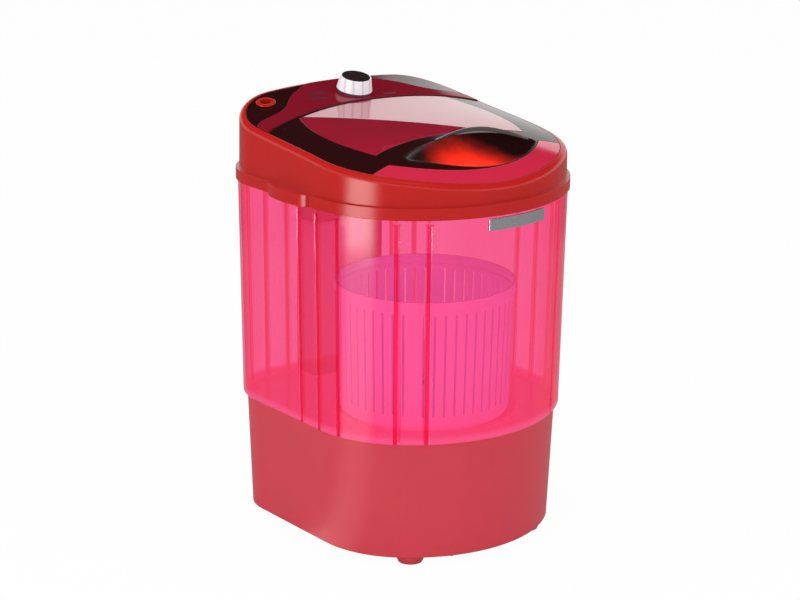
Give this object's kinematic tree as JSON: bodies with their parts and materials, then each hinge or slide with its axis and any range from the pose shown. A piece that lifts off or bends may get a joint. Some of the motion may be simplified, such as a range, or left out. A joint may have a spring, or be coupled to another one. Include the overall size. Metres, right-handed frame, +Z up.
{
  "type": "washing machine",
  "caption": "Compact top-loading washing machine: D-shaped body, see-through tub with a lift-out slotted basket, sloping top with a hinged lid and a timer dial.",
  "frame": {"origin": "middle of the machine's plan box, on the floor under the four feet", "axes": "+Z up, front (bowed side with the badge plate) towards -Y, +X to the right seen from the front"},
  "size_m": [0.394, 0.3913, 0.58],
  "materials": {
    "base_red": "moulded red plastic, low gloss",
    "tub_pink": "translucent pink plastic",
    "duct_pink": "translucent rose plastic",
    "frame_red": "polished red plastic",
    "smoked": "dark smoked plastic, glossy",
    "panel_crimson": "deep crimson plastic, glossy",
    "scoop_red": "dark red plastic, glossy",
    "window_pink": "transparent pink plastic",
    "silver_trim": "silver foil and plating",
    "knob_white": "white plastic",
    "basket_pink": "pink plastic, half clear",
    "dark_plastic": "black moulded plastic",
    "steel": "plated steel",
    "bronze": "sintered bronze",
    "rubber": "black rubber",
    "motor_metal": "grey painted sheet steel"
  },
  "bodies": {
    "machine": {"base_housing": "base_red", "base_plate": "base_red", "foot_front_left": "base_red", "foot_front_right": "base_red", "foot_rear_left": "base_red", "foot_rear_right": "base_red", "foot_screws": "steel", "base_screws": "steel", "tub_screws": "steel", "wash_tub": "tub_pink", "wire_duct": "duct_pink", "timer_box": "duct_pink", "top_frame": "frame_red", "rear_trim_left": "smoked", "rear_trim_right": "smoked", "inlet_port": "frame_red", "control_panel": "panel_crimson", "front_trim": "panel_crimson", "badge_plate": "silver_trim", "timer_switch": "dark_plastic", "dial_collar": "window_pink", "hinge_pins": "steel", "bearing_housing": "dark_plastic", "bearing_screws": "steel", "shaft_bushes": "bronze", "shaft_seal": "rubber", "drive_belt": "rubber", "motor": "motor_metal", "motor_plate": "steel", "motor_grommets": "rubber", "motor_screws": "steel", "capacitor": "motor_metal", "drain_pipe": "dark_plastic", "cable_gland": "dark_plastic"},
    "lid": {"lid_frame": "smoked", "lid_window": "window_pink", "lid_scoop": "scoop_red", "lid_handle": "silver_trim"},
    "timer": {"timer_shaft": "steel", "timer_knob": "knob_white", "knob_cap": "smoked"},
    "drive": {"pulsator": "basket_pink", "pulsator_screw": "steel", "drive_shaft": "steel", "driven_pulley": "dark_plastic"},
    "basket": {"spin_basket": "basket_pink"},
    "motor_rotor": {"motor_shaft": "steel", "motor_pulley": "dark_plastic", "motor_fan": "dark_plastic"}
  },
  "joints": [
    {"name": "lid_hinge", "type": "hinge", "parent": "machine", "child": "lid", "pos_m": [0, 0.07665, 0.5233], "axis": [-1, 0, 0], "range_deg": [0, 75]},
    {"name": "timer_turn", "type": "hinge", "parent": "machine", "child": "timer", "pos_m": [0, 0.13345, 0.55418], "axis": [0, -0.2079, 0.9781], "range_deg": [-270, 0]},
    {"name": "pulsator_spin", "type": "hinge", "parent": "machine", "child": "drive", "pos_m": [0, -0.02355, 0.1], "axis": [0, 0, 1], "continuous": true},
    {"name": "motor_spin", "type": "hinge", "parent": "machine", "child": "motor_rotor", "pos_m": [0, 0.08665, 0.1], "axis": [0, 0, 1], "continuous": true},
    {"name": "basket_lift", "type": "slide", "parent": "drive", "child": "basket", "axis": [0, 0, 1], "range_m": [0, 0.12]}
  ],
  "couplings": [
    {"joint": "motor_spin", "follows": "pulsator_spin", "ratio": 3.75}
  ]
}
